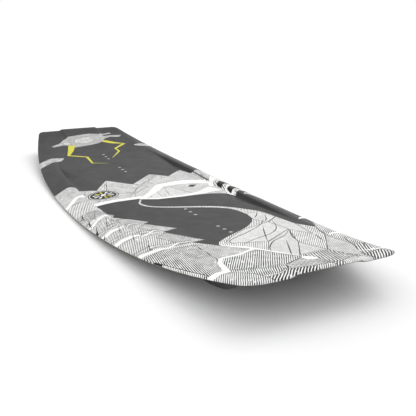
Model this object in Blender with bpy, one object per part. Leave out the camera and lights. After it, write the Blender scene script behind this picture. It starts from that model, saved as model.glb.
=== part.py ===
"""Twin-tip wakeboard: layered board, binding inserts and four bolt-on fins.

Frame: origin at the middle of the underside, +X along the board towards the nose,
+Y towards the left rail, +Z up.  Units are metres.
"""
import math

import bmesh
import bpy
from mathutils import Vector
from mathutils.bvhtree import BVHTree

# ---------------------------------------------------------------- driving dimensions
BOARD_LENGTH = 1.385
MID_HALF_WIDTH = 0.2222
TIP_HALF_WIDTH = 0.1340
OUTLINE_POWER = 2.167
TIP_BOW = 0.002
CORNER_RADIUS = 0.0265

DECK_CENTRE_HEIGHT = 0.022
ROCKER_SPAN = 0.7
ROCKER_SQUARE = 0.0317
ROCKER_FOURTH = 0.0256
TIP_THICKNESS = 0.0062
REST_HALF_LENGTH = 0.1

EDGE_THICKNESS = 0.0040
EDGE_ROUND = 0.0020
EDGE_DROP_MID = 0.0137
EDGE_DROP_TIP = 0.0044
TIP_ROLL = 0.0015
BEVEL_START = 0.45

WALL_HEIGHT = 0.009
WALL_FULL_TO = 0.20
WALL_GONE_AT = 0.42
CREST_LIFT = 0.0035
CREST_FULL_TO = 0.26
CREST_GONE_AT = 0.44
CREST_INNER = 0.772
CREST_OUTER = 0.820
SHOULDER = 0.91
SHOULDER_BULGE = 0.0008
SCOOP_EDGE_MID = 0.110
SCOOP_EDGE_END = 0.152
SCOOP_WIDENS_FROM = 0.1
SCOOP_WIDENS_TO = 0.3

TONGUE_HALF_WIDTH = 0.058
TONGUE_FOOT = 0.066
TONGUE_HEIGHT = 0.0038
TONGUE_START = 0.445

SHEET = 0.0006
LAMINATE = 0.0006
GAP = 0.0003
BAND_DEPTH = 0.0080

FOOT_OFFSET = 0.2998
BOLT_PITCH = 0.0254
BOLT_GROUP_OFFSET = 3 * BOLT_PITCH
INSERT_BORE_RADIUS = 0.0025
INSERT_NECK_RADIUS = 0.0040
INSERT_FLANGE_RADIUS = 0.0080
INSERT_BARREL_RADIUS = 0.0055
INSERT_LENGTH = 0.0125
INSERT_SINK = 0.0002
PLATE_LENGTH = 0.076
PLATE_WIDTH = 0.030
PLATE_THICKNESS = 0.0020
PLATE_CORNER = 0.2
INSERT_FLANGE_THICKNESS = 0.0015
CUTTER_REACH = 0.003

FIN_OFFSET_Y = 0.120
FIN_START = 0.456
FIN_END = 0.660
BLADE_CENTRE = 0.558
BLADE_HALF_LENGTH = 0.090
BLADE_POWER = 2.6
BLADE_ROUNDING = 0.87
BLADE_SHARES = (0.2, 0.45, 0.65, 0.8, 0.9, 0.97, 1.0)
FIN_DEPTH = 0.0242
FLANGE_THICKNESS = 0.0024
FLANGE_HALF_WIDTH = 0.0070
BLADE_ROOT_HALF = 0.0028
BLADE_EDGE_HALF = 0.0012
BLADE_FILLET = 0.0012
BLADE_RIDGE = 0.0004
BLADE_ROOT_STEP = 0.0002
BLADE_ROOT_SHARE = 0.6
FLANGE_END_ROUND = 0.0070
FLANGE_END_STEPS = (0.0, 0.0015, 0.0050)
FLANGE_TIP_SHARE = 0.08
FLANGE_SEAT_GAP = 0.0004
FIN_SCREW_X = (0.4625, 0.6535)
FIN_SCREW_RADIUS = 0.0018
FIN_SCREW_REACH = 0.0030
FIN_SCREW_HEAD_RADIUS = 0.0042
FIN_SCREW_HEAD_HEIGHT = 0.0020
FIN_INSERT_RADIUS = 0.0045
FIN_INSERT_BORE = 0.0021
FIN_INSERT_LENGTH = 0.0040
SCREW_CROWN_SHARE = 0.8
SCREW_SIDE_SHARE = 0.6
SCREW_TILT_REACH = 0.004
SCREW_HOLE_REACH = 0.010

# ---------------------------------------------------------------- worked-out values
HALF_LENGTH = BOARD_LENGTH / 2
ROUND_SIDES = 12
UNDER_SHEET = SHEET + GAP
UNDER_LAMINATE = UNDER_SHEET + LAMINATE + GAP
CORE_INSET = BAND_DEPTH + GAP


def smoothstep(low, high, value):
    t = min(1.0, max(0.0, (value - low) / (high - low)))
    return t * t * (3 - 2 * t)


def half_width(x):
    """Half the board's width at a distance x from its middle."""
    share = min(1.0, abs(x) / HALF_LENGTH)
    return MID_HALF_WIDTH - (MID_HALF_WIDTH - TIP_HALF_WIDTH) * share ** OUTLINE_POWER


def rise(x):
    """Rocker: how far the deck's centre line has risen at x."""
    t = x / ROCKER_SPAN
    return ROCKER_SQUARE * t ** 2 + ROCKER_FOURTH * t ** 4


def thickness(x):
    """Board thickness on the centre line."""
    share = min(1.0, abs(x) / HALF_LENGTH) ** 2
    return DECK_CENTRE_HEIGHT - (DECK_CENTRE_HEIGHT - TIP_THICKNESS) * share


def edge_drop(x):
    share = min(1.0, abs(x) / HALF_LENGTH) ** 1.5
    return EDGE_DROP_MID - (EDGE_DROP_MID - EDGE_DROP_TIP) * share


def tongue(x):
    """Height of the raised tip plateau above the deck beside it."""
    return TONGUE_HEIGHT * smoothstep(TONGUE_START, HALF_LENGTH, abs(x))


def wall(x):
    """Height of the steep wall between the scoop and the crest."""
    return WALL_HEIGHT * (1 - smoothstep(WALL_FULL_TO, WALL_GONE_AT, abs(x)))


def crest(x):
    """Height of the crest above the deck's centre line."""
    return CREST_LIFT * (1 - smoothstep(CREST_FULL_TO, CREST_GONE_AT, abs(x)))


def tip_x(y):
    """The slightly bowed end of the board."""
    return HALF_LENGTH - TIP_BOW * (y / TIP_HALF_WIDTH) ** 2


def corner_fillet(share):
    """A point on the rounded tip corner: 0 is on the rail, 1 is on the tip."""
    corner = Vector((tip_x(TIP_HALF_WIDTH), half_width(tip_x(TIP_HALF_WIDTH))))
    step = 0.001
    rail = Vector((-step, half_width(corner.x - step) - corner.y)).normalized()
    tip = Vector((tip_x(corner.y - step) - corner.x, -step)).normalized()
    half_angle = rail.angle(tip) / 2
    tangent = CORNER_RADIUS / math.tan(half_angle)
    centre = corner + (rail + tip).normalized() * CORNER_RADIUS / math.sin(half_angle)
    start = corner + rail * tangent - centre
    end = corner + tip * tangent - centre
    turn = start.angle_signed(end)
    return centre + Vector((
        start.x * math.cos(turn * share) + start.y * math.sin(turn * share),
        start.y * math.cos(turn * share) - start.x * math.sin(turn * share),
    ))


# ---------------------------------------------------------------- shared grid
STATIONS = [0.0, REST_HALF_LENGTH, 0.20, 0.27, 0.34, 0.42, 0.50, 0.58, 0.635, corner_fillet(0).x]
TIP_ROW = len(STATIONS)
RAIL = 8


def column_offsets(x):
    """Distances from the centre line at which the deck's section changes slope."""
    width = half_width(x)
    crest_inner = CREST_INNER * width
    wall_foot = crest_inner - 0.003 - 0.004 * wall(x) / WALL_HEIGHT
    widening = smoothstep(SCOOP_WIDENS_FROM, SCOOP_WIDENS_TO, abs(x))
    scoop_edge = SCOOP_EDGE_MID + (SCOOP_EDGE_END - SCOOP_EDGE_MID) * widening
    scoop_edge = min(scoop_edge, wall_foot - 0.008)
    return [0.0, TONGUE_HALF_WIDTH, TONGUE_FOOT, scoop_edge, wall_foot, crest_inner,
            CREST_OUTER * width, SHOULDER * width, width]


def plan_point(row, column):
    """Place in plan of a grid node; the outermost row and column lie on the outline."""
    if row < TIP_ROW:
        x = STATIONS[row]
        return Vector((x, column_offsets(x)[column]))
    if column == RAIL:
        return corner_fillet(0.5)
    if column == RAIL - 1:
        return corner_fillet(1.0)
    y = column_offsets(HALF_LENGTH)[column]
    return Vector((tip_x(y), y))


def on_edge(row, column):
    return row == TIP_ROW or column == RAIL


def deck_height(row, column):
    """Height of the deck at a grid node; on the outline, of the top of the edge."""
    point = plan_point(row, column)
    x = point.x
    level = DECK_CENTRE_HEIGHT + rise(x)
    if column == RAIL:
        return level - edge_drop(x)
    drop_edge = -edge_drop(x)
    crest_level = crest(x) - tongue(x)
    levels = [0.0, 0.0, -tongue(x), -tongue(x), crest_level - wall(x), crest_level, crest_level]
    if column < RAIL - 1:
        section = levels[column]
    else:
        share = (SHOULDER - CREST_OUTER) / (1 - CREST_OUTER)
        section = crest_level + (drop_edge - crest_level) * share + SHOULDER_BULGE
    if row == TIP_ROW:
        section = max(section - TIP_ROLL, drop_edge) if column > 1 else section - TIP_ROLL
    return level + section


def base_height(row, column):
    """Height of the underside at a grid node; on the outline, of the edge's bottom."""
    if on_edge(row, column):
        return deck_height(row, column) - EDGE_THICKNESS
    point = plan_point(row, column)
    x = point.x
    channel = 0.0 if column <= 1 else tongue(x)
    if row <= 1:
        level = 0.0
    else:
        level = DECK_CENTRE_HEIGHT + rise(x) - thickness(x) - channel
    rail_level = DECK_CENTRE_HEIGHT + rise(x) - edge_drop(x) - EDGE_THICKNESS
    share = max(0.0, (point.y / half_width(x) - BEVEL_START) / (1 - BEVEL_START))
    if column <= 2:
        share = 0.0
    return level + (rail_level - level) * share ** 2


def edge_point(row, column, inset, from_top):
    """A point on the edge's section, inset from the outline and below the edge's top."""
    outer = plan_point(row, column)
    inner = plan_point(min(row, TIP_ROW - 1), min(column, RAIL - 1))
    place = outer + (inner - outer).normalized() * inset
    return Vector((place.x, place.y, deck_height(row, column) - from_top))


def layer_point(row, column, height, inset, offset):
    """A node of a layer's face: height() gives the board's face, offset moves off it."""
    if not on_edge(row, column):
        point = plan_point(row, column)
        return Vector((point.x, point.y, height(row, column) + offset))
    outer = plan_point(row, column)
    near_row = min(row, TIP_ROW - 1)
    near_column = min(column, RAIL - 1)
    inner = plan_point(near_row, near_column)
    reach = (inner - outer).length
    place = outer + (inner - outer) * (inset / reach)
    share = (inset - EDGE_ROUND) / (reach - EDGE_ROUND)
    edge = height(row, column)
    level = edge + (height(near_row, near_column) - edge) * share
    return Vector((place.x, place.y, level + offset))


# ---------------------------------------------------------------- mesh helpers
def mirrored(point, row, column):
    """Carry a point of the first quarter to the quarter of a signed row and column."""
    return Vector((
        point.x if row >= 0 else -point.x,
        point.y if column >= 0 else -point.y,
        point.z,
    ))


def boundary_nodes():
    """Signed grid nodes on the outline, anticlockwise seen from above."""
    nodes = [(TIP_ROW, column) for column in range(-RAIL, RAIL)]
    nodes += [(row, RAIL) for row in range(TIP_ROW, -TIP_ROW, -1)]
    nodes += [(-TIP_ROW, column) for column in range(RAIL, -RAIL, -1)]
    nodes += [(row, -RAIL) for row in range(-TIP_ROW, TIP_ROW)]
    return nodes


class BoardMesh:
    """Collects one layer's faces on the shared grid."""

    def __init__(self):
        self.vertices = []
        self.faces = []

    def add_patch(self, height, inset, offset, upward):
        """A whole face of the board; returns its outline's vertices in order."""
        index = {}
        for row in range(-TIP_ROW, TIP_ROW + 1):
            for column in range(-RAIL, RAIL + 1):
                point = layer_point(abs(row), abs(column), height, inset, offset)
                index[row, column] = len(self.vertices)
                self.vertices.append(mirrored(point, row, column))
        for row in range(-TIP_ROW, TIP_ROW):
            for column in range(-RAIL, RAIL):
                quad = [index[row, column], index[row + 1, column],
                        index[row + 1, column + 1], index[row, column + 1]]
                outward_diagonal = (row >= 0) == (column >= 0)
                if outward_diagonal:
                    pair = [(quad[0], quad[1], quad[2]), (quad[0], quad[2], quad[3])]
                else:
                    pair = [(quad[0], quad[1], quad[3]), (quad[1], quad[2], quad[3])]
                for face in pair:
                    self.faces.append(face if upward else face[::-1])
        return [index[node] for node in boundary_nodes()]

    def add_ring(self, point_at):
        """A loop of vertices round the outline; point_at(row, column) gives each one."""
        start = len(self.vertices)
        nodes = boundary_nodes()
        for row, column in nodes:
            self.vertices.append(mirrored(point_at(abs(row), abs(column)), row, column))
        return list(range(start, start + len(nodes)))

    def join(self, upper, lower):
        """Wall between two loops, facing outwards when upper lies above lower."""
        count = len(upper)
        for step in range(count):
            after = (step + 1) % count
            self.faces.append((upper[step], lower[step], lower[after], upper[after]))


def make_material(name, colour, roughness, metallic=0.0):
    material = bpy.data.materials.new(name)
    material.use_nodes = True
    shader = material.node_tree.nodes["Principled BSDF"]
    shader.inputs["Base Color"].default_value = (*colour, 1.0)
    shader.inputs["Roughness"].default_value = roughness
    shader.inputs["Metallic"].default_value = metallic
    material.diffuse_color = (*colour, 1.0)
    return material


def make_object(name, vertices, faces, material):
    mesh = bpy.data.meshes.new(name)
    mesh.from_pydata([tuple(v) for v in vertices], [], faces)
    mesh.update()
    piece = bpy.data.objects.new(name, mesh)
    bpy.context.scene.collection.objects.link(piece)
    if material is not None:
        mesh.materials.append(material)
    return piece


def lathe(profile, sides=ROUND_SIDES):
    """Turn an (r, z) profile round Z; it runs up the outside and down the inside."""
    vertices = []
    rings = []
    for radius, height in profile:
        if radius == 0:
            rings.append([len(vertices)] * sides)
            vertices.append((0.0, 0.0, height))
            continue
        start = len(vertices)
        rings.append(list(range(start, start + sides)))
        for side in range(sides):
            angle = 2 * math.pi * side / sides
            vertices.append((radius * math.cos(angle), radius * math.sin(angle), height))
    faces = []
    closed = 0 not in (profile[0][0], profile[-1][0])
    for step in range(len(profile) if closed else len(profile) - 1):
        below = rings[step]
        above = rings[(step + 1) % len(profile)]
        for side in range(sides):
            after = (side + 1) % sides
            face = [below[side], below[after], above[after], above[side]]
            unique = [v for place, v in enumerate(face) if v not in face[:place]]
            faces.append(tuple(unique))
    return vertices, faces


def place(piece, location, tilt):
    """Put a piece in place, tilted about Y so that its axis follows the surface."""
    piece.location = location
    piece.rotation_euler = (0.0, -tilt, 0.0)


def cutter_from(name, shapes):
    """One closed cutter made of separate solids: (vertices, faces, location, tilt)."""
    vertices = []
    faces = []
    for shape_vertices, shape_faces, location, tilt in shapes:
        start = len(vertices)
        cos_tilt = math.cos(tilt)
        sin_tilt = math.sin(tilt)
        for x, y, z in shape_vertices:
            turned = Vector((x * cos_tilt - z * sin_tilt, y, x * sin_tilt + z * cos_tilt))
            vertices.append(turned + Vector(location))
        faces += [tuple(v + start for v in face) for face in shape_faces]
    cutter = make_object(name, vertices, faces, None)
    cutter.hide_render = True
    cutter.display_type = "WIRE"
    return cutter


def cut(piece, cutter):
    modifier = piece.modifiers.new(cutter.name, "BOOLEAN")
    modifier.operation = "DIFFERENCE"
    modifier.solver = "EXACT"
    modifier.object = cutter


def cylinder(radius, low, high):
    return lathe([(0, low), (radius, low), (radius, high), (0, high)])


def block(length, width, low, high):
    """A plate with cut corners, centred on the axis."""
    x = length / 2
    y = width / 2
    c = PLATE_CORNER * width
    outline = [(-x, -y + c), (-x + c, -y), (x - c, -y), (x, -y + c),
               (x, y - c), (x - c, y), (-x + c, y), (-x, y - c)]
    count = len(outline)
    vertices = [(px, py, low) for px, py in outline] + [(px, py, high) for px, py in outline]
    faces = [tuple(range(count - 1, -1, -1)), tuple(range(count, 2 * count))]
    for side in range(count):
        after = (side + 1) % count
        faces.append((side, after, after + count, side + count))
    return vertices, faces


# ---------------------------------------------------------------- board layers
def build_top_sheet(material):
    """Printed sheet: deck, rounded edge, and a lip down to the parting line."""
    mesh = BoardMesh()
    deck = mesh.add_patch(deck_height, EDGE_ROUND, 0.0, True)
    outer = [(0.0006, 0.0005), (0.0, 0.0014), (0.0, 0.0022)]
    inner = [(SHEET, 0.0022), (SHEET + 0.0002, 0.0014)]
    previous = deck
    for inset, drop in outer + inner:
        ring = mesh.add_ring(lambda r, c, n=inset, d=drop: edge_point(r, c, n, d))
        mesh.join(previous, ring)
        previous = ring
    lining = mesh.add_patch(deck_height, EDGE_ROUND, -SHEET, False)
    mesh.join(previous, lining)
    return make_object("top_sheet", mesh.vertices, mesh.faces, material)


def build_edge_band(material):
    """Cast edge all round: its lower lip shows between the top sheet and the base."""
    mesh = BoardMesh()

    def deck_side(row, column):
        return layer_point(row, column, deck_height, BAND_DEPTH, -UNDER_SHEET)

    def base_side(row, column):
        return layer_point(row, column, base_height, BAND_DEPTH, UNDER_SHEET)

    lip = SHEET + GAP
    section = [(EDGE_ROUND, SHEET + 1.3 * GAP), (lip + 0.0001, 0.0017), (lip, 0.0025),
               (0.0, 0.0025), (0.0, 0.0031), (EDGE_ROUND, EDGE_THICKNESS - UNDER_SHEET)]
    first = mesh.add_ring(deck_side)
    previous = first
    for inset, drop in section:
        ring = mesh.add_ring(lambda r, c, n=inset, d=drop: edge_point(r, c, n, d))
        mesh.join(previous, ring)
        previous = ring
    last = mesh.add_ring(base_side)
    mesh.join(previous, last)
    mesh.join(last, first)
    return make_object("edge_band", mesh.vertices, mesh.faces, material)


def build_base_sheet(material):
    mesh = BoardMesh()
    inside = mesh.add_patch(base_height, EDGE_ROUND, SHEET, True)
    rim = [(0.0003, EDGE_THICKNESS - SHEET), (0.0007, EDGE_THICKNESS - 0.0001)]
    previous = inside
    for inset, drop in rim:
        ring = mesh.add_ring(lambda r, c, n=inset, d=drop: edge_point(r, c, n, d))
        mesh.join(previous, ring)
        previous = ring
    outside = mesh.add_patch(base_height, EDGE_ROUND, 0.0, False)
    mesh.join(previous, outside)
    return make_object("base_sheet", mesh.vertices, mesh.faces, material)


def build_inner_layer(name, upper, lower, material):
    """A layer inside the edge band; upper and lower are (height function, offset)."""
    mesh = BoardMesh()
    top = mesh.add_patch(upper[0], CORE_INSET, upper[1], True)
    bottom = mesh.add_patch(lower[0], CORE_INSET, lower[1], False)
    mesh.join(top, bottom)
    return make_object(name, mesh.vertices, mesh.faces, material)


def surface_of(piece):
    vertices = [v.co.copy() for v in piece.data.vertices]
    faces = [tuple(p.vertices) for p in piece.data.polygons]
    return BVHTree.FromPolygons(vertices, faces)


def deck_at(tree, x, y=0.0):
    return tree.ray_cast(Vector((x, y, 1.0)), Vector((0, 0, -1)))[0].z


def base_at(tree, x, y):
    return tree.ray_cast(Vector((x, y, -1.0)), Vector((0, 0, 1)))[0].z


# ---------------------------------------------------------------- binding inserts
def insert_places(deck):
    """Every binding insert: its number, its place on the deck and its tilt."""
    places = []
    for foot in (-1, 1):
        for group in (-1, 1):
            centre = foot * FOOT_OFFSET + group * BOLT_GROUP_OFFSET
            ahead = deck_at(deck, centre + BOLT_PITCH)
            behind = deck_at(deck, centre - BOLT_PITCH)
            tilt = math.atan((ahead - behind) / (2 * BOLT_PITCH))
            for step in (-1, 0, 1):
                x = centre + step * BOLT_PITCH
                places.append((Vector((x, 0.0, deck_at(deck, x))), tilt))
    return places


PLATE_TOP = -(UNDER_LAMINATE + GAP)
PLATE_BOTTOM = PLATE_TOP - PLATE_THICKNESS
FLANGE_TOP = PLATE_BOTTOM - 2 * GAP
FLANGE_BOTTOM = FLANGE_TOP - INSERT_FLANGE_THICKNESS


def insert_profile():
    return [(INSERT_BORE_RADIUS, -INSERT_LENGTH), (INSERT_BARREL_RADIUS, -INSERT_LENGTH),
            (INSERT_BARREL_RADIUS, FLANGE_BOTTOM), (INSERT_FLANGE_RADIUS, FLANGE_BOTTOM),
            (INSERT_FLANGE_RADIUS, FLANGE_TOP), (INSERT_NECK_RADIUS, FLANGE_TOP),
            (INSERT_NECK_RADIUS, -INSERT_SINK), (INSERT_BORE_RADIUS, -INSERT_SINK)]


def build_binding_inserts(places, material):
    vertices, faces = lathe(insert_profile())
    for number, (location, tilt) in enumerate(places, start=1):
        insert = make_object(f"binding_insert_{number:02d}", vertices, faces, material)
        place(insert, location, tilt)


def plate_places(places):
    """The middle insert of each group of three carries the plate's centre."""
    return [places[middle] for middle in (1, 4, 7, 10)]


def build_insert_plates(places, cutter, material):
    vertices, faces = block(PLATE_LENGTH, PLATE_WIDTH, PLATE_BOTTOM, PLATE_TOP)
    for number, (location, tilt) in enumerate(plate_places(places), start=1):
        plate = make_object(f"insert_plate_{number}", vertices, faces, material)
        place(plate, location, tilt)
        cut(plate, cutter)


def insert_cutters(places):
    """Cutters for the neck holes, and for the pockets in the core."""
    neck = cylinder(INSERT_NECK_RADIUS + GAP, PLATE_BOTTOM - CUTTER_REACH, CUTTER_REACH)
    flange = cylinder(INSERT_FLANGE_RADIUS + GAP, -INSERT_LENGTH - GAP, PLATE_BOTTOM + GAP)
    pocket = block(PLATE_LENGTH + 2 * GAP, PLATE_WIDTH + 2 * GAP, PLATE_BOTTOM - GAP, CUTTER_REACH)
    necks = cutter_from("neck_holes_cutter", [(*neck, *spot) for spot in places])
    barrels = cutter_from("barrel_holes_cutter", [(*flange, *spot) for spot in places])
    pockets = cutter_from("plate_pockets_cutter", [(*pocket, *spot) for spot in plate_places(places)])
    return necks, barrels, pockets


# ---------------------------------------------------------------- fins
def fin_depth(x):
    """How far the blade stands below the base: level in the middle, round at both ends."""
    share = min(1.0, abs(x - BLADE_CENTRE) / BLADE_HALF_LENGTH)
    return FIN_DEPTH * (1 - share ** BLADE_POWER) ** BLADE_ROUNDING


def fin_stations():
    """Section places along the fin, closer together where it is round."""
    ahead = [BLADE_CENTRE + BLADE_HALF_LENGTH * share for share in BLADE_SHARES]
    behind = [BLADE_CENTRE - BLADE_HALF_LENGTH * share for share in BLADE_SHARES[::-1]]
    start = [FIN_START + step for step in FLANGE_END_STEPS]
    end = [FIN_END - step for step in FLANGE_END_STEPS[::-1]]
    return start + behind + [BLADE_CENTRE] + ahead + end


def flange_half_width(x):
    past = max(FIN_START + FLANGE_END_ROUND - x, x - (FIN_END - FLANGE_END_ROUND), 0.0)
    return FLANGE_HALF_WIDTH * math.sqrt(max(FLANGE_TIP_SHARE, 1 - (past / FLANGE_END_ROUND) ** 2))


def build_fin(name, base, end, side, material):
    """A flange that follows the base, with the blade standing out of it."""
    vertices = []
    for x in fin_stations():
        half = flange_half_width(x)
        depth = max(fin_depth(x), FLANGE_THICKNESS + BLADE_RIDGE)
        blade = min(BLADE_ROOT_HALF, BLADE_ROOT_SHARE * half)
        root_depth = min(FLANGE_THICKNESS + BLADE_FILLET, depth - BLADE_ROOT_STEP)
        shape = [(-half, 0), (-half, FLANGE_THICKNESS), (-blade, root_depth),
                 (-BLADE_EDGE_HALF, depth), (BLADE_EDGE_HALF, depth), (blade, root_depth),
                 (half, FLANGE_THICKNESS), (half, 0)]
        for offset, drop in shape:
            y = FIN_OFFSET_Y + offset
            top = base_at(base, end * x, side * y) - FLANGE_SEAT_GAP
            vertices.append((end * x, side * y, top - drop))
    count = 8
    sections = len(vertices) // count
    faces = [tuple(range(count)), tuple(range(len(vertices) - 1, len(vertices) - count - 1, -1))]
    for section in range(sections - 1):
        for corner in range(count):
            after = (corner + 1) % count
            low = section * count
            faces.append((low + corner, low + count + corner, low + count + after, low + after))
    if end * side < 0:
        faces = [face[::-1] for face in faces]
    return make_object(name, vertices, faces, material)


def fin_screw_places(base, end, side):
    """Where each screw meets the base, and the base's tilt there."""
    places = []
    for x in FIN_SCREW_X:
        here = Vector((end * x, side * FIN_OFFSET_Y, base_at(base, end * x, side * FIN_OFFSET_Y)))
        ahead = base_at(base, here.x + SCREW_TILT_REACH, here.y)
        behind = base_at(base, here.x - SCREW_TILT_REACH, here.y)
        places.append((here, math.atan((ahead - behind) / (2 * SCREW_TILT_REACH))))
    return places


def fin_screw_profile():
    seat = -FLANGE_THICKNESS - 3 * GAP
    bottom = seat - FIN_SCREW_HEAD_HEIGHT
    return [(0, bottom), (SCREW_CROWN_SHARE * FIN_SCREW_HEAD_RADIUS, bottom),
            (FIN_SCREW_HEAD_RADIUS, seat - SCREW_SIDE_SHARE * FIN_SCREW_HEAD_HEIGHT),
            (FIN_SCREW_HEAD_RADIUS, seat), (FIN_SCREW_RADIUS, seat),
            (FIN_SCREW_RADIUS, FIN_SCREW_REACH), (0, FIN_SCREW_REACH)]


def build_fin_insert(name, location, tilt, material):
    """A blind threaded insert, open downwards."""
    roof = FIN_SCREW_REACH + GAP
    vertices, faces = lathe([
        (0, roof), (FIN_INSERT_BORE, roof), (FIN_INSERT_BORE, INSERT_SINK),
        (FIN_INSERT_RADIUS, INSERT_SINK), (FIN_INSERT_RADIUS, FIN_INSERT_LENGTH),
        (0, FIN_INSERT_LENGTH)])
    insert = make_object(name, vertices, faces, material)
    place(insert, location, tilt)


# ---------------------------------------------------------------- the whole board
def main():
    for old in list(bpy.data.objects):
        bpy.data.objects.remove(old, do_unlink=True)

    sheet = make_material("printed_top_sheet", (0.13, 0.13, 0.13), 0.35)
    glass = make_material("glass_laminate", (0.72, 0.70, 0.55), 0.45)
    foam = make_material("core_foam", (0.80, 0.72, 0.50), 0.85)
    edge = make_material("cast_edge", (0.78, 0.74, 0.45), 0.40)
    base = make_material("running_base", (0.05, 0.05, 0.05), 0.30)
    phenolic = make_material("phenolic_plate", (0.28, 0.15, 0.07), 0.50)
    brass = make_material("insert_metal", (0.72, 0.71, 0.68), 0.30, 1.0)
    plastic = make_material("fin_plastic", (0.03, 0.03, 0.03), 0.40)
    steel = make_material("screw_steel", (0.60, 0.60, 0.61), 0.25, 1.0)

    top_sheet = build_top_sheet(sheet)
    base_sheet = build_base_sheet(base)
    build_edge_band(edge)
    top_laminate = build_inner_layer(
        "top_laminate", (deck_height, -UNDER_SHEET), (deck_height, -UNDER_SHEET - LAMINATE), glass)
    core = build_inner_layer(
        "foam_core", (deck_height, -UNDER_LAMINATE), (base_height, UNDER_LAMINATE), foam)
    bottom_laminate = build_inner_layer(
        "bottom_laminate", (base_height, UNDER_SHEET + LAMINATE), (base_height, UNDER_SHEET), glass)

    deck_surface = surface_of(top_sheet)
    base_surface = surface_of(base_sheet)

    places = insert_places(deck_surface)
    necks, barrels, pockets = insert_cutters(places)
    build_binding_inserts(places, brass)
    build_insert_plates(places, necks, phenolic)
    cut(top_sheet, necks)
    cut(top_laminate, necks)
    cut(core, pockets)
    cut(core, barrels)

    insert_hole = cylinder(FIN_INSERT_RADIUS + GAP, -CUTTER_REACH, FIN_INSERT_LENGTH + GAP)
    screw_hole = cylinder(FIN_SCREW_RADIUS + GAP, -SCREW_HOLE_REACH, SCREW_HOLE_REACH)
    insert_holes = []
    for end, end_name in ((1, "nose"), (-1, "tail")):
        for side, side_name in ((1, "left"), (-1, "right")):
            where = f"{end_name}_{side_name}"
            spots = fin_screw_places(base_surface, end, side)
            fin = build_fin(f"fin_{where}", base_surface, end, side, plastic)
            holes = cutter_from(f"fin_holes_{where}_cutter", [(*screw_hole, *spot) for spot in spots])
            cut(fin, holes)
            for number, (location, tilt) in enumerate(spots, start=1):
                screw = make_object(f"fin_screw_{where}_{number}", *lathe(fin_screw_profile()), steel)
                place(screw, location, tilt)
                build_fin_insert(f"fin_insert_{where}_{number}", location, tilt, brass)
                insert_holes.append((*insert_hole, location, tilt))
    base_holes = cutter_from("fin_insert_holes_cutter", insert_holes)
    for layer in (base_sheet, bottom_laminate, core):
        cut(layer, base_holes)

    for piece in bpy.data.objects:
        if piece.type == "MESH" and piece.display_type != "WIRE":
            piece.data.set_sharp_from_angle(angle=math.radians(30))


main()
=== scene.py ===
"""The wakeboard's looks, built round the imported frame.

Everything is in metres in the frame's own axes: +X along the board, +Y across it,
+Z up, with the origin under the middle of the board.
"""
import math

import bpy
import numpy as np
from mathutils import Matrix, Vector
from mathutils.geometry import delaunay_2d_cdt


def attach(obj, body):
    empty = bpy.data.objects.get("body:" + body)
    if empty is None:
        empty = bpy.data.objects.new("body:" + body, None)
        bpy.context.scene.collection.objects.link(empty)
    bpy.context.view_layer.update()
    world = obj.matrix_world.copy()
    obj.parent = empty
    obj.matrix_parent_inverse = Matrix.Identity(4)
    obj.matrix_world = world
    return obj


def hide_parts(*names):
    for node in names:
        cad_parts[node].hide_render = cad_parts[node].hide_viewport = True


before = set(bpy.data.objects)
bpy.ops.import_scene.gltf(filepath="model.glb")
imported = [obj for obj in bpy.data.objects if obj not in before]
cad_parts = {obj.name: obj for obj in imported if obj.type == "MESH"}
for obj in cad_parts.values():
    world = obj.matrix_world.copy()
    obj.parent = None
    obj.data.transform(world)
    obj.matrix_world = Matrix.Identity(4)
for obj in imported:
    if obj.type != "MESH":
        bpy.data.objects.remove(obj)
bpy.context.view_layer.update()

BODY = "root"

# -------------------- the board's shape
HALF_LENGTH = 0.6925
MID_HALF_WIDTH = 0.2222
TIP_HALF_WIDTH = 0.1340
OUTLINE_POWER = 2.167
TIP_BOW = 0.002
CORNER_RADIUS = 0.0265
MID_THICKNESS = 0.022
TIP_THICKNESS = 0.0062
EDGE_THICKNESS = 0.0040
EDGE_ROUND = 0.0020
TIP_ROLL = 0.0015
TIP_ROLL_REACH = 0.0128
EDGE_DROP_MID = 0.0137
EDGE_DROP_CHANGE = 0.0093
EDGE_DROP_POWER = 1.5
RISE_SPAN = 0.7
RISE_SQUARE = 0.0317
RISE_FOURTH = 0.0256
WALL_HEIGHT = 0.009
WALL_FADE = (0.20, 0.42)
CREST_HEIGHT = 0.0035
CREST_FADE = (0.26, 0.44)
CREST_INNER_SHARE = 0.772
CREST_OUTER_SHARE = 0.820
WALL_FOOT_GAP = 0.003
WALL_FOOT_SPREAD = 0.004
SCOOP_CREASE = 0.4
SCOOP_EDGE_MID = 0.110
SCOOP_EDGE_CHANGE = 0.042
SCOOP_EDGE_FADE = (0.1, 0.3)
SCOOP_LEAST_WIDTH = 0.008
SLOPE_BULGE = 0.0032
BEVEL_START_SHARE = 0.45
TONGUE_DROP = 0.0038
TONGUE_HALF_WIDTH = 0.062
TONGUE_SOFTNESS = 0.004
TONGUE_START = 0.445
TONGUE_FULL_WIDTH_AT = 0.62
FOOT_OFFSET = 0.2998
BOLT_PITCH = 0.0254
NECK_RADIUS = 0.0040
HOLE_GAP = 0.0003
SHEET = 0.0005


def smoothstep(low, high, value):
    t = np.clip((value - low) / (high - low), 0.0, 1.0)
    return t * t * (3 - 2 * t)


def half_width(x):
    share = np.minimum(1.0, np.abs(x) / HALF_LENGTH)
    return MID_HALF_WIDTH - (MID_HALF_WIDTH - TIP_HALF_WIDTH) * share ** OUTLINE_POWER


def tip_x(y):
    return HALF_LENGTH - TIP_BOW * (y / TIP_HALF_WIDTH) ** 2


def rise(x):
    t = x / RISE_SPAN
    return RISE_SQUARE * t ** 2 + RISE_FOURTH * t ** 4


def edge_drop(x):
    share = np.minimum(1.0, np.abs(x) / HALF_LENGTH)
    return EDGE_DROP_MID - EDGE_DROP_CHANGE * share ** EDGE_DROP_POWER


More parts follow.
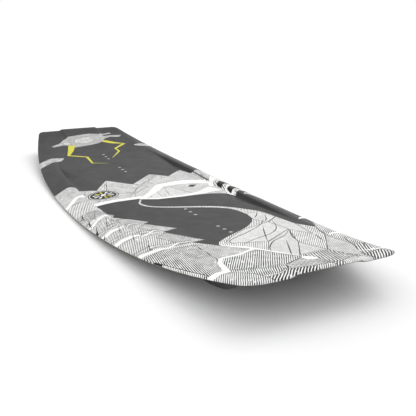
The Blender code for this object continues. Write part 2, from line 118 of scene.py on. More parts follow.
def wall(x):
    return WALL_HEIGHT * (1 - smoothstep(*WALL_FADE, np.abs(x)))


def crest(x):
    return CREST_HEIGHT * (1 - smoothstep(*CREST_FADE, np.abs(x)))


def tongue_drop(x, y):
    """How far the deck beside the raised tip plateau lies below it."""
    along = np.abs(x)
    height = TONGUE_DROP * smoothstep(TONGUE_START, HALF_LENGTH, along)
    share = np.clip((along - TONGUE_START) / (TONGUE_FULL_WIDTH_AT - TONGUE_START), 0, 1)
    half = TONGUE_HALF_WIDTH * np.sqrt(share)
    return height * smoothstep(half - TONGUE_SOFTNESS, half + TONGUE_SOFTNESS, np.abs(y))


def deck_lines(x):
    """Distances from the centre line: scoop edge, wall foot, crest edges, rail."""
    width = half_width(x)
    crest_inner = CREST_INNER_SHARE * width
    wall_foot = crest_inner - WALL_FOOT_GAP - WALL_FOOT_SPREAD * wall(x) / WALL_HEIGHT
    scoop_edge = SCOOP_EDGE_MID + SCOOP_EDGE_CHANGE * smoothstep(*SCOOP_EDGE_FADE, np.abs(x))
    scoop_edge = np.minimum(scoop_edge, wall_foot - SCOOP_LEAST_WIDTH)
    return scoop_edge, wall_foot, crest_inner, CREST_OUTER_SHARE * width, width - EDGE_ROUND


def near_tip(x, y):
    """1 at the tip's edge, fading to 0 where the deck starts to roll down to it."""
    distance = tip_x(y) - EDGE_ROUND - np.abs(x)
    return np.clip(1 - distance / TIP_ROLL_REACH, 0, 1) ** 2


def deck_z(x, y):
    """Height of the deck."""
    x = np.asarray(x, float)
    across = np.abs(np.asarray(y, float))
    scoop_edge, wall_foot, crest_inner, crest_outer, rail = deck_lines(x)
    top = crest(x)
    foot = top - wall(x)
    scoop = np.clip((across - scoop_edge) / (wall_foot - scoop_edge), 0, 1)
    scoop = scoop * (SCOOP_CREASE + (1 - SCOOP_CREASE) * scoop)
    climb = smoothstep(0, 1, (across - wall_foot) / (crest_inner - wall_foot))
    section = foot * scoop + (top - foot) * climb
    past = np.clip((across - crest_outer) / (rail - crest_outer), 0, 1.2)
    slope_end = -edge_drop(x) + tongue_drop(x, y)
    section += (slope_end - top) * past + SLOPE_BULGE * past * (1 - past)
    section -= tongue_drop(x, y) + TIP_ROLL * near_tip(x, across)
    return MID_THICKNESS + rise(x) + section


def base_z(x, y):
    """Height of the underside."""
    x = np.asarray(x, float)
    across = np.abs(np.asarray(y, float))
    share = np.minimum(1.0, np.abs(x) / HALF_LENGTH) ** 2
    level = rise(x) + (MID_THICKNESS - TIP_THICKNESS) * share - tongue_drop(x, y)
    rail = MID_THICKNESS + rise(x) - edge_drop(x) - EDGE_THICKNESS
    bevel = (across / half_width(x) - BEVEL_START_SHARE) / (1 - BEVEL_START_SHARE)
    bevel = np.clip(bevel, 0, 1) ** 2
    level = level + (rail - level) * bevel
    edge = deck_z(x, y) - EDGE_THICKNESS
    return level + (edge - level) * near_tip(x, across)


def corner_fillet(share):
    """A point on the rounded tip corner: 0 is on the rail, 1 is on the tip."""
    corner = Vector((tip_x(TIP_HALF_WIDTH), half_width(tip_x(TIP_HALF_WIDTH))))
    step = 0.001
    rail = Vector((-step, half_width(corner.x - step) - corner.y)).normalized()
    tip = Vector((tip_x(corner.y - step) - corner.x, -step)).normalized()
    half_angle = rail.angle(tip) / 2
    tangent = CORNER_RADIUS / math.tan(half_angle)
    centre = corner + (rail + tip).normalized() * CORNER_RADIUS / math.sin(half_angle)
    start = corner + rail * tangent - centre
    turn = start.angle_signed(corner + tip * tangent - centre) * share
    return centre + Vector((start.x * math.cos(turn) + start.y * math.sin(turn),
                            start.y * math.cos(turn) - start.x * math.sin(turn)))


def outline(step=0.005):
    """The whole outline in plan, anticlockwise from the middle of the nose's tip."""
    rail_end = corner_fillet(0)
    tip_end = corner_fillet(1)
    count = round(tip_end.y / step)
    quarter = [(tip_x(tip_end.y * k / count), tip_end.y * k / count) for k in range(count)]
    quarter += [tuple(corner_fillet(1 - k / 8)) for k in range(8)]
    count = round(rail_end.x / step)
    rail = [rail_end.x * (1 - k / count) for k in range(count + 1)]
    quarter += [(x, float(half_width(x))) for x in rail]
    half = quarter + [(-x, y) for x, y in quarter[-2::-1]]
    return half + [(x, -y) for x, y in half[-2:0:-1]]


def outward(loop):
    """Unit normals pointing out of an anticlockwise loop of points in plan."""
    points = np.array([(p[0], p[1]) for p in loop])
    along = np.roll(points, -1, axis=0) - np.roll(points, 1, axis=0)
    normal = np.stack([along[:, 1], -along[:, 0]], axis=1)
    return normal / np.linalg.norm(normal, axis=1)[:, None]


# -------------------- mesh helpers
def add_object(name, data):
    piece = bpy.data.objects.new(name, data)
    bpy.context.scene.collection.objects.link(piece)
    return piece


def new_mesh(name, vertices, faces, smooth_angle=35):
    mesh = bpy.data.meshes.new(name)
    mesh.from_pydata([tuple(map(float, v)) for v in vertices], [], faces)
    mesh.update()
    piece = add_object(name, mesh)
    mesh.shade_smooth()
    mesh.set_sharp_from_angle(angle=math.radians(smooth_angle))
    return piece


def finish_piece(piece, material, slot, *nodes):
    """Give a piece its material and its place in the frame, and hide the CAD nodes it stands for.
    """
    piece.data.materials.append(material)
    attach(piece, BODY)
    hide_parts(*nodes)


def boundary_loops(faces):
    """Closed loops of vertices along the open edges of a triangle mesh."""
    follows = {}
    edges = set()
    for face in faces:
        for place, start in enumerate(face):
            edges.add((start, face[(place + 1) % len(face)]))
    for start, end in edges:
        if (end, start) not in edges:
            follows[start] = end
    loops = []
    while follows:
        start, after = follows.popitem()
        loop = [start]
        while after != start:
            loop.append(after)
            after = follows.pop(after)
        loops.append(loop)
    return sorted(loops, key=len, reverse=True)


def margin(x, y):
    """Roughly how far points lie inside the outline."""
    x, y = np.abs(x), np.abs(y)
    inner = np.minimum(half_width(x) - y, tip_x(y) - x)
    past_x = x - (HALF_LENGTH - TIP_BOW - CORNER_RADIUS - 0.004)
    past_y = y - (TIP_HALF_WIDTH - CORNER_RADIUS + 0.002)
    corner = CORNER_RADIUS - np.hypot(past_x, past_y)
    return np.where((past_x > 0) & (past_y > 0), np.minimum(inner, corner), inner)


def inside(polygon, points):
    """Which of the points lie inside a polygon."""
    result = np.zeros(len(points), bool)
    x, y = points[:, 0], points[:, 1]
    for (ax, ay), (bx, by) in zip(polygon, np.roll(polygon, -1, axis=0)):
        if ay == by:
            continue
        crosses = (ay > y) != (by > y)
        result ^= crosses & (x < (bx - ax) * (y - ay) / (by - ay) + ax)
    return result


def circle(centre, radius, sides=24):
    turns = np.arange(sides) * 2 * math.pi / sides
    return np.array(centre) + radius * np.stack([np.cos(turns), np.sin(turns)], axis=1)


def plan_mesh(inset, step, offsets, holes=(), outlines=()):
    """Triangles in plan inside the board's outline, following the given long lines.

    holes are (centre, radius) pairs; outlines are further loops to cut the mesh along.
    """
    loop = outline()
    rim = np.array(loop) - outward(loop) * inset
    points, edges = [], []
    for corners in (rim, *outlines, *(circle(*hole) for hole in holes)):
        start = len(points)
        points.extend(Vector(corner) for corner in corners)
        edges.extend((start + k, start + (k + 1) % len(corners)) for k in range(len(corners)))
    stations = np.linspace(-1, 1, 2 * round(HALF_LENGTH / step) + 1) * (HALF_LENGTH - 0.006)
    for offset in offsets:
        row = offset(stations) + 0 * stations
        fits = margin(stations, row) > inset + 0.002
        previous = None
        for x, y, here in zip(stations, row, fits):
            if here:
                if previous is not None:
                    edges.append((previous, len(points)))
                previous = len(points)
                points.append(Vector((x, y)))
            else:
                previous = None
    corners, _, faces, *_ = delaunay_2d_cdt(points, edges, [], 0, 1e-6)
    plan = np.array([(v.x, v.y) for v in corners])
    faces = np.array([tuple(face) for face in faces])
    a, b, c = (plan[faces[:, k]] for k in range(3))
    turn = np.cross(b - a, c - a)
    middles = (a + b + c) / 3
    stays = (np.abs(turn) > 1e-12) & inside(rim, middles)
    for centre, radius in holes:
        stays &= np.hypot(*(middles - centre).T) > 0.98 * radius
    faces[turn < 0] = faces[turn < 0][:, ::-1]
    used, renumbered = np.unique(faces[stays], return_inverse=True)
    return plan[used], [tuple(map(int, face)) for face in renumbered.reshape(-1, 3)]


def sheet_solid(plan, triangles, height, rim, thickness, upward):
    """A closed sheet: its outer face, a rim of (out, drop) steps, and its inner face.

    Returns vertices, faces and, for each face, the triangle of the plan it belongs to.
    """
    sign = 1 if upward else -1
    face_z = height(plan[:, 0], plan[:, 1])
    vertices = [(x, y, z) for (x, y), z in zip(plan, face_z)]
    count = len(vertices)
    vertices += [(x, y, z - sign * thickness) for (x, y), z in zip(plan, face_z)]
    faces = [face if upward else face[::-1] for face in triangles]
    faces += [tuple(v + count for v in (face[::-1] if upward else face)) for face in triangles]
    source = list(range(len(triangles))) * 2
    owner = {}
    for index, face in enumerate(triangles):
        for place, start in enumerate(face):
            owner[start, face[(place + 1) % 3]] = index
    loops = boundary_loops(triangles)
    for number, loop in enumerate(loops):
        steps = rim if number == 0 else []
        normals = outward([plan[v] for v in loop])
        previous = loop
        rings = []
        for out, drop in steps:
            ring = list(range(len(vertices), len(vertices) + len(loop)))
            for vertex, normal in zip(loop, normals):
                x, y = plan[vertex] + normal * out
                vertices.append((x, y, face_z[vertex] - sign * drop))
            rings.append((previous, ring))
            previous = ring
        rings.append((previous, [v + count for v in loop]))
        for high, low in rings:
            for place in range(len(loop)):
                after = (place + 1) % len(loop)
                quad = (high[place], low[place], low[after], high[after])
                faces.append(quad if upward else quad[::-1])
                source.append(owner[loop[place], loop[after]])
    return vertices, faces, source


def lathe(profile, sides, location, tilt):
    """Turn an (r, z) profile round Z, up the outside and down the inside, and place it.

    A third number in a profile point makes that ring a polygon with so many corners.
    """
    vertices = []
    rings = []
    for radius, height, *corners in profile:
        if radius == 0:
            rings.append([len(vertices)] * sides)
            vertices.append((0.0, 0.0, height))
            continue
        rings.append(list(range(len(vertices), len(vertices) + sides)))
        for side in range(sides):
            angle = 2 * math.pi * side / sides
            reach = radius
            if corners:
                flat = math.pi / corners[0]
                reach = radius * math.cos(flat) / math.cos(angle % (2 * flat) - flat)
            vertices.append((reach * math.cos(angle), reach * math.sin(angle), height))
    faces = []
    closed = 0 not in (profile[0][0], profile[-1][0])
    for step in range(len(profile) if closed else len(profile) - 1):
        below = rings[step]
        above = rings[(step + 1) % len(profile)]
        for side in range(sides):
            after = (side + 1) % sides
            face = [below[side], below[after], above[after], above[side]]
            faces.append(tuple(v for place, v in enumerate(face) if v not in face[:place]))
    return set_down(vertices, location, tilt), faces


def set_down(vertices, location, tilt):
    """Tilt points about Y and move them to their place."""
    cos_tilt = math.cos(tilt)
    sin_tilt = math.sin(tilt)
    base = Vector(location)
    return [base + Vector((x * cos_tilt - z * sin_tilt, y, x * sin_tilt + z * cos_tilt))
            for x, y, z in vertices]


# -------------------- the printed pattern
CHARCOAL = (0.036, 0.036, 0.037)
PAPER = (0.88, 0.88, 0.87)
WHITE = (0.94, 0.94, 0.93)
INK = (0.012, 0.012, 0.013)
YELLOW = (0.62, 0.585, 0.045)
areas = []


def area(tone, points, angle=0.0, pitch=0.0, duty=0.0):
    """A printed area: its outline in plan in mm, its tone and its hatching.

    angle is the direction of the hatch lines in degrees, pitch their spacing in mm and
    duty the share of ink.
    """
    areas.append((np.array(points, float) / 1000, tone, angle, pitch, duty))


def facet(points, angle, pitch, duty):
    """A hatched area with a thin ink outline."""
    area(PAPER, points, angle, pitch, duty)
    for start, end in zip(points, points[1:] + points[:1]):
        stroke(INK, [start, end], [1.3, 1.3])


def curve(points):
    """A smooth line through the points."""
    steps = 8
    ends = [2 * np.array(points[0]) - points[1], *map(np.array, points),
            2 * np.array(points[-1]) - points[-2]]
    line = []
    for a, b, c, d in zip(ends, ends[1:], ends[2:], ends[3:]):
        for k in range(steps):
            t = k / steps
            line.append(0.5 * (2 * b + (c - a) * t + (2 * a - 5 * b + 4 * c - d) * t ** 2
                               + (3 * b - a - 3 * c + d) * t ** 3))
    return line + [np.array(points[-1], float)]


def stroke(tone, points, widths, smooth=False):
    """A line of varying width, drawn as an area; the widths are spread evenly along it."""
    line = np.array(curve(points) if smooth else points, float)
    along = np.gradient(line, axis=0)
    along /= np.linalg.norm(along, axis=1)[:, None]
    side = np.stack([-along[:, 1], along[:, 0]], axis=1)
    share = np.linspace(0, 1, len(line))
    half = np.interp(share, np.linspace(0, 1, len(widths)), widths) / 2
    offset = side * half[:, None]
    area(tone, np.concatenate([line + offset, (line - offset)[::-1]]))


def draw_light_ground():
    """The two light fields: a band across the middle, and the nose."""
    band = [(-165, 230), (-112, 168), (-163, 150), (-102, 88), (-145, 50), (-65, -28), (-130, -78),
            (-50, -127), (-100, -188), (-80, -230), (300, -230), (300, -190), (105, -172),
            (66, -166), (69, -60), (93, -20), (100, 85), (112, 150), (163, 178), (165, 230)]
    area(PAPER, band, -12, 3.4, 0.36)
    nose = curve([(75, -56), (110, -70), (143, -55), (168, -15), (192, 35), (216, 74), (250, 103),
                  (300, 130), (350, 134.5)])
    nose += [(420, 135), (462, 150.5), (360, 215), (720, 220), (720, -220), (160, -230),
             (105, -172), (130, -166), (160, -148), (168, -158), (205, -140), (252, -106),
             (256, -122), (322, -74), (309, -122), (421, -64), (424, -92), (470, -61)]
    nose += curve([(462, -58), (446, -47), (425, -18), (400, 25), (372, 60), (340, 84), (300, 93),
                   (252, 88), (222, 63), (197, 24), (172, -24), (143, -64), (110, -75.5),
                   (75, -60)])
    area(PAPER, nose, -33, 3.2, 0.36)


def draw_band_facets():
    """Angular facets of the middle band, each hatched its own way."""
    for angle, pitch, duty, *points in (
            (-38, 2.3, 0.39, (-163, 150), (-102, 88), (-50, 100), (-45, 150)),
            (-64, 2.5, 0.35, (-102, 88), (-145, 50), (-65, -28), (-45, 30), (-50, 100)),
            (1, 1.9, 0.42, (-145, 50), (-120, 60), (-50, -10), (-65, -28)),
            (-28, 2.7, 0.39, (-130, -78), (-65, -28), (-30, 0), (30, -60), (-20, -110)),
            (-11, 2.1, 0.42, (-100, -188), (-50, -127), (20, -115), (50, -160), (20, -230),
             (-90, -230)),
            (-24, 2.0, 0.42, (-112, 168), (-165, 230), (-20, 230), (-20, 168)),
            (-61, 3.3, 0.26, (0, 45), (90, 75), (90, -20), (62, -45), (10, -5)),
            (-58, 2.5, 0.42, (5, -50), (50, -60), (55, -160), (0, -120))):
        facet(points, angle, pitch, duty)
    for x, y, reach in ((-125, 75, 50), (-100, 30, 45), (-105, -90, 60), (-70, -150, 50),
                        (-120, 185, 70)):
        stroke(INK, [(x, y), (x + 0.5 * reach, y - 8), (x + reach, y - 20)],
               [0.3, 1.3, 0.3], smooth=True)
    for y in (35, 12, -12):
        stroke(INK, [(2, y), (40, y - 12), (88, y - 18)], [0.3, 1.2, 0.3], smooth=True)
    stroke(INK, [(-45, -20), (0, -45), (35, -70)], [0.3, 1.5, 0.4], smooth=True)
    stroke(INK, [(58, 130), (85, 115), (100, 105)], [0.3, 1.2, 0.3], smooth=True)


def draw_band_streaks():
    """Plain white streaks through the middle band, and dark print slots by the far rail, two of
    them deepened with painted shade.
    """
    stroke(WHITE, [(-20, 165), (-30, 85), (-22, 30), (30, -12), (74, -54)], [40, 34, 26, 18, 12])
    stroke(WHITE, [(55, 150), (86, 95), (92, 40), (87, -20), (70, -55)], [42, 22, 13, 12, 10])
    stroke(WHITE, [(58, -50), (60, -100), (56, -168)], [20, 17, 22])
    stroke(WHITE, [(-40, 200), (0, 165), (30, 150)], [26, 14, 10])
    stroke(WHITE, [(45, 215), (80, 172), (125, 160)], [10, 16, 12])
    stroke(WHITE, [(0, -165), (-3, -190), (30, -222)], [22, 15, 12])
    # painted shade: these two charcoal print slots over the far wall and slope are drawn in ink,
    # darker than the charcoal print, for the shade there
    area(INK, [(20, 176), (30, 167), (58, 165), (44, 186), (10, 222), (-10, 222)])
    area(INK, [(76, 176), (84, 167), (112, 163), (96, 188), (66, 222), (46, 222)])
    area(CHARCOAL, [(130, 168), (136, 162), (165, 158), (155, 172), (125, 200), (112, 222),
                    (95, 222)])
    area(CHARCOAL, [(10, 118), (30, 100), (20, 90), (4, 102)])


def draw_ring_mark():
    """A plain ring round an even star of petals."""
    centre = np.array((-4, -124))
    for radius, tone in ((37, INK), (34.2, PAPER), (32.2, INK)):
        area(tone, circle(centre, radius, 36))
    for petal in range(10):
        turn = 2 * math.pi * petal / 10
        way = np.array((math.cos(turn), math.sin(turn)))
        stroke(YELLOW if petal % 5 < 2 else PAPER, [centre + way * 10, centre + way * 25.5],
               [2.0, 6.5])
    area(PAPER, circle(centre, 6.5))


def draw_spikes():
    """The hatched, pointed facets along the near rail and their white streaks."""
    tips = [(160, -148), (252, -106), (322, -74), (421, -64)]
    feet = [115, 190, 262, 340, 430]
    for (x, y), left, right in zip(tips, feet, feet[1:]):
        knee = y - 45
        middle = (x + 2, knee)
        low_left = (left + 20, knee - 25)
        low_right = (right - 20, knee - 20)
        facet([(x, y), (left, knee), low_left, middle], 0, 3.4, 0.50)
        facet([(x, y), middle, low_right, (right - 5, y - 60)], -42, 3.0, 0.24)
        facet([(left, knee), (left, -220), (x - 10, -220), middle, low_left], -24, 3.2, 0.42)
        facet([middle, (x - 10, -220), (right, -220), low_right], -52, 2.6, 0.34)
        stroke(INK, [(x, y - 6), (x - 14, knee), (x - 20, -205)], [0.4, 2.2, 1.0], smooth=True)
    for x, y, foot in ((253, -112, 272), (318, -85, 334), (417, -78, 430)):
        stroke(WHITE, [(x, y), (x - 6, y - 35), ((x + foot) / 2 + 8, y - 62), (foot, -165),
                       (foot - 6, -190), (foot + 4, -218)], [1, 3, 5, 9, 12, 16])
    stroke(WHITE, [(168, -158), (178, -190), (200, -215)], [3, 7, 9])
    for k in range(7):
        x = 125 + 62 * k
        y = -183 + 6.5 * k
        stroke(INK, [(x, y), (x + 30, y - 9), (x + 52, y - 12)], [0.3, 1.6, 0.3], smooth=True)
    for k in range(4):
        x = 100 + 55 * k
        stroke(INK, [(x, -205), (x + 25, -210.5), (x + 46, -211.5)], [0.5, 3.2, 0.5], smooth=True)


def draw_nose_facets():
    """Facets, long thin lines and strong stripes of the nose."""
    for angle, pitch, duty, *points in (
            (9, 3.0, 0.26, (300, 129), (350, 134), (378, 98), (345, 84), (300, 94)),
            (58, 2.8, 0.30, (352, 134), (420, 135), (500, 115), (445, 100), (380, 98)),
            (66, 2.6, 0.24, (378, 98), (445, 100), (498, 20), (462, -45), (430, -15), (400, 30)),
            (48, 2.8, 0.30, (445, 100), (530, 62), (620, 0), (560, -20), (500, 20)),
            (70, 2.8, 0.32, (530, 62), (600, 70), (607, 10)),
            (-46, 3.5, 0.46, (462, 150.5), (520, 128), (600, 120), (600, 190), (360, 220)),
            (-21, 3.4, 0.42, (520, 128), (600, 70), (660, 65), (660, 120), (600, 125)),
            (-23, 4.6, 0.56, (607, 70), (720, 85), (720, 20), (612, 12)),
            (-32, 4.6, 0.56, (600, 122), (660, 90), (720, 85), (720, 200), (600, 200)),
            (2, 3.4, 0.46, (470, -61), (505, -35), (520, -22), (532, -60), (535, -102), (440, -95)),
            (-8, 3.0, 0.53, (440, -95), (535, -102), (600, -122), (607, -150), (440, -190)),
            (-33, 3.5, 0.49, (535, -22), (620, 4), (640, -40), (600, -118), (542, -100)),
            (-2, 4.6, 0.56, (620, 4), (720, 20), (720, -60), (645, -45)),
            (-24, 3.2, 0.53, (600, -118), (645, -45), (665, -52), (660, -100), (612, -126)),
            (-30, 3.1, 0.48, (612, -126), (640, -98), (672, -94), (720, -95), (720, -160),
             (600, -160)),
            (-42, 4.4, 0.60, (672, -94), (720, -95), (720, -18), (680, -18), (668, -55)),
            (-34, 3.2, 0.42, (680, -18), (720, -18), (720, 12), (682, 12)),
            (-36, 4.2, 0.58, (682, 12), (720, 12), (720, 28), (684, 28)),
            (-18, 3.0, 0.34, (684, 28), (720, 28), (720, 88), (668, 80)),
            (-38, 4.4, 0.62, (664, 86), (720, 88), (720, 160), (655, 130))):
        facet(points, angle, pitch, duty)


def draw_nose_lines():
    """Long, thin ink lines over the nose."""
    lines = [
        [(352, 104), (386, 76), (418, 30), (452, -30), (480, -35)],
        [(372, 112), (420, 90), (452, 58), (474, 2), (496, -32)],
        [(448, 100), (478, 70), (500, 32), (535, 0), (582, -22)],
        [(448, 100), (492, 76), (530, 64)],
        [(400, 72), (440, 50), (498, 20)],
        [(508, 52), (560, 22), (612, -8)],
        [(500, 118), (552, 100)],
        [(588, 162), (612, 136), (642, 114)],
        [(464, 150), (494, 138), (524, 131)],
        [(545, 150), (575, 132), (606, 120)],
        [(330, 122), (356, 108), (372, 94)],
        [(300, 121), (324, 104), (338, 90)],
    ]
    for points in lines:
        stroke(INK, points, [0.5, 2.0, 2.3, 0.5], smooth=True)
    stroke(WHITE, [(352, 212), (372, 186), (396, 160)], [4, 9, 1.5])
    stroke(WHITE, [(505, 178), (515, 150), (524, 132)], [12, 8, 2])
    stroke(WHITE, [(646, 158), (652, 125), (640, 100)], [8, 5, 3])
    stroke(WHITE, [(470, -59), (500, -34), (524, -22), (600, 4)], [3, 9, 7, 2])
    stroke(WHITE, [(524, -26), (536, -60), (538, -94)], [6, 8, 7])
    stroke(WHITE, [(538, -94), (560, -109), (608, -122)], [6, 8, 10])
    stroke(WHITE, [(606, -118), (608, -138), (618, -160)], [11, 13, 15])
    turns = np.linspace(0, 2 * math.pi, 25)[:-1]
    area(WHITE, [(633 + 13 * math.cos(t) - 4 * math.sin(t), 8 + 5 * math.cos(t) + 7.5 * math.sin(t))
                 for t in turns])


def draw_tail():
    """The tail: a hatched patch, two yellow zigzags and light wisps at the rails."""
    patch = [(-632, 92), (-618, 50), (-628, 20), (-622, -20), (-612, -58), (-585, -82), (-560, -96),
             (-535, -128), (-524, -124), (-536, -92), (-530, -70), (-505, -62), (-511, -20),
             (-525, 20), (-545, 45), (-572, 56), (-588, 80), (-580, 112), (-598, 124), (-604, 90),
             (-600, 58), (-612, 66), (-620, 96)]
    area((0.60, 0.60, 0.59), patch, 20, 2.2, 0.30)
    facet([(-600, 10), (-590, -40), (-552, -52), (-530, -12), (-560, 20)], -30, 3.8, 0.39)
    facet([(-562, -66), (-530, -62), (-540, -84), (-560, -90)], 7, 3.2, 0.39)
    stroke(YELLOW, [(-527, -66), (-470, -84), (-424, -102), (-392, -54), (-322, -58), (-305, -16)],
           [22, 17, 10, 9, 6, 1])
    stroke(YELLOW, [(-548, 45), (-520, 72), (-501, 100), (-456, 56), (-424, 58), (-356, 13)],
           [24, 18, 11, 8, 7, 1])
    facet([(-404, -122), (-410, -152), (-404, -200), (-352, -205), (-362, -166), (-374, -136),
           (-392, -124)], -47, 3.5, 0.49)
    facet([(-498, 190), (-490, 150), (-480, 124), (-468, 130), (-456, 150), (-462, 168),
           (-478, 190)], -62, 3.5, 0.49)


# -------------------- board pieces
def insert_places():
    """Every binding insert: its place on the deck and its tilt."""
    places = []
    for foot in (-1, 1):
        for group in (-1, 1):
            centre = foot * FOOT_OFFSET + group * 3 * BOLT_PITCH
            ahead, behind = deck_z([centre + BOLT_PITCH, centre - BOLT_PITCH], [0, 0])
            tilt = math.atan((ahead - behind) / (2 * BOLT_PITCH))
            for step in (-1, 0, 1):
                x = centre + step * BOLT_PITCH
                places.append((Vector((x, 0.0, float(deck_z(x, 0.0)))), tilt))
    return places


def deck_offsets():
    """The long lines that the top sheet's mesh follows, as functions of x."""
    def at(line, share=0.0, shift=0.0):
        def offset(x):
            lines = (0.0, *deck_lines(x))
            return lines[line] + share * (lines[line + 1] - lines[line] if share else 0) + shift
        return offset

    half = [at(0, shift=y) for y in (0.010, 0.020, 0.031, 0.042, 0.052, 0.0575, 0.0605, 0.0635,
                                     0.067, 0.074)]
    half += [at(line, share=s) for line in (1, 2) for s in (0.0, 0.2, 0.4, 0.6, 0.8)]
    half += [at(3), at(3, share=0.3), at(3, share=0.7), at(4)]
    half += [at(4, share=s) for s in (0.12, 0.26, 0.42, 0.60, 0.78, 0.92)]
    return [at(0)] + half + [lambda x, line=line: -line(x) for line in half]


def build_top_sheet(holes, material):
    """The printed sheet: fine mesh cut along the print's outlines, with a rolled edge."""
    outlines = [np.clip(polygon, (-0.74, -0.25), (0.74, 0.25)) for polygon, *_ in areas]
    plan, triangles = plan_mesh(EDGE_ROUND, 0.0085, deck_offsets(), holes, outlines)
    rim = [(0.0008, 0.0002), (0.0014, 0.0006), (0.0018, 0.0012), (EDGE_ROUND, 0.0019),
           (EDGE_ROUND, 0.0026), (EDGE_ROUND - SHEET, 0.0026), (EDGE_ROUND - SHEET, 0.0016),
           (0.0006, 0.0008)]
    vertices, faces, source = sheet_solid(plan, triangles, deck_z, rim, SHEET, True)
    sheet = new_mesh("printed_top_sheet", vertices, faces, 50)
    middles = plan[np.array(triangles)].mean(axis=1)
    tone = np.tile(np.array(CHARCOAL), (len(triangles), 1))
    hatch = np.zeros((len(triangles), 3))
    for polygon, colour, angle, pitch, duty in areas:
        low, high = polygon.min(axis=0), polygon.max(axis=0)
        near = np.flatnonzero(((middles >= low) & (middles <= high)).all(axis=1))
        hit = near[inside(polygon, middles[near])]
        tone[hit] = colour
        turn = math.radians(angle)
        lines_per_metre = 1000 / pitch if pitch else 0
        hatch[hit] = (-math.sin(turn) * lines_per_metre, math.cos(turn) * lines_per_metre, duty)
    source = np.array(source)
    tone_layer = sheet.data.attributes.new("print_tone", "FLOAT_COLOR", "FACE")
    rgba = np.concatenate([tone[source], np.ones((len(source), 1))], axis=1)
    tone_layer.data.foreach_set("color", rgba.ravel())
    hatch_layer = sheet.data.attributes.new("print_hatch", "FLOAT_VECTOR", "FACE")
    hatch_layer.data.foreach_set("vector", hatch[source].ravel())
    finish_piece(sheet, material, "printed_sheet", "top_sheet")


def base_offsets():
    """The long lines that the base's mesh follows, as functions of x."""
    half = [lambda x, y=y: y for y in (0.015, 0.030, 0.045, 0.055, 0.059, 0.062, 0.065, 0.070)]
    half += [lambda x, s=s: 0.070 + (half_width(x) - 0.074) * s
             for s in (0.12, 0.26, 0.4, 0.55, 0.7, 0.85, 0.95)]
    return [lambda x: 0.0] + half + [lambda x, line=line: -line(x) for line in half]


def build_base_sheet(holes, material):
    """The running base, with the channels under the tips and its rolled edge."""
    plan, triangles = plan_mesh(EDGE_ROUND, 0.011, base_offsets(), holes)
    rim = [(0.0009, 0.00015), (0.0014, 0.00035), (0.0017, 0.0006), (0.0014, 0.0006)]
    vertices, faces, _ = sheet_solid(plan, triangles, base_z, rim, SHEET, False)
    base = new_mesh("running_base", vertices, faces, 50)
    finish_piece(base, material, "running_base", "base_sheet")


LAMINATE_INSET = 0.0083
LAMINATE_DEPTH = 0.0009
LAMINATE = 0.0006


def build_laminates(deck_holes, base_holes, material):
    """The glass layers just under the two sheets."""
    for node, upward, offsets, holes in (("top_laminate", True, deck_offsets(), deck_holes),
                                         ("bottom_laminate", False, base_offsets(), base_holes)):
        def height(x, y, upward=upward):
            return deck_z(x, y) - LAMINATE_DEPTH if upward else base_z(x, y) + LAMINATE_DEPTH

        plan, triangles = plan_mesh(LAMINATE_INSET, 0.011, offsets, holes)
        vertices, faces, _ = sheet_solid(plan, triangles, height, [], LAMINATE, upward)
        layer = new_mesh(f"glass_{node}", vertices, faces, 50)
        finish_piece(layer, material, "laminate", node)


def build_core(material):
    """The foam core: the CAD's shape, drawn in a little at the tips under the finer sheets."""
    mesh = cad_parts["foam_core"].data.copy()
    mesh.name = "foam_core_blank"
    mesh.materials.clear()
    places = np.zeros(3 * len(mesh.vertices))
    mesh.vertices.foreach_get("co", places)
    x, y, z = places.reshape(-1, 3).T
    deck = deck_z(x, y)
    base = base_z(x, y)
    share = np.clip((z - base) / (deck - base), 0, 1)
    shrink = 0.0009 * smoothstep(0.42, 0.55, np.abs(x)) * (1 - 2 * share)
    mesh.vertices.foreach_set("co", np.stack([x, y, z + shrink], axis=1).ravel())
    mesh.update()
    core = add_object("foam_core_blank", mesh)
    finish_piece(core, material, "core_foam", "foam_core")


def build_edge_band(material):
    """The cast edge that shows as a thin line between the sheets."""
    loop = outline(0.004)
    normals = outward(loop)
    plan = np.array(loop)
    inner = plan - normals * EDGE_ROUND
    edge_z = deck_z(inner[:, 0], inner[:, 1])
    section = [(0.0016, 0.0011), (0.0006, 0.0018), (0.0006, 0.00265), (0.00005, 0.00268),
               (0.00005, 0.0031), (0.0003, 0.0033), (0.0050, 0.0033), (0.0050, 0.0011)]
    vertices = []
    for inset, drop in section:
        ring = plan - normals * inset
        vertices += [(x, y, z - drop) for (x, y), z in zip(ring, edge_z)]
    count = len(loop)
    faces = []
    for step in range(len(section)):
        high = step * count
        low = (step + 1) % len(section) * count
        for place in range(count):
            after = (place + 1) % count
            faces.append((high + place, low + place, low + after, high + after))
    band = new_mesh("cast_edge_band", vertices, faces, 40)
    finish_piece(band, material, "cast_edge", "edge_band")


# -------------------- metal and fins
PLATE_BOTTOM = -0.0041
FLANGE_TOP = PLATE_BOTTOM - 0.0006
FLANGE_BOTTOM = FLANGE_TOP - 0.0015
INSERT_LENGTH = 0.0125
BORE_RADIUS = 0.0025
THREAD_PITCH = 0.0010


def build_inserts(places, material):
    """Threaded inserts with a chamfered mouth and a turned thread."""
    profile = [(BORE_RADIUS, -INSERT_LENGTH), (0.0055, -INSERT_LENGTH), (0.0055, FLANGE_BOTTOM),
               (0.0080, FLANGE_BOTTOM), (0.0080, FLANGE_TOP), (NECK_RADIUS, FLANGE_TOP),
               (NECK_RADIUS, -0.0004), (NECK_RADIUS - 0.0002, -0.0002), (0.0031, -0.0002),
               (0.0028, -0.0005)]
    for turn in range(9):
        level = -0.0008 - turn * THREAD_PITCH
        profile += [(BORE_RADIUS, level), (0.0029, level - THREAD_PITCH / 2)]
    for number, (location, tilt) in enumerate(places, start=1):
        vertices, faces = lathe(profile, 32, location, tilt)
        insert = new_mesh(f"threaded_insert_{number:02d}", vertices, faces)
        finish_piece(insert, material, "insert_metal", f"binding_insert_{number:02d}")


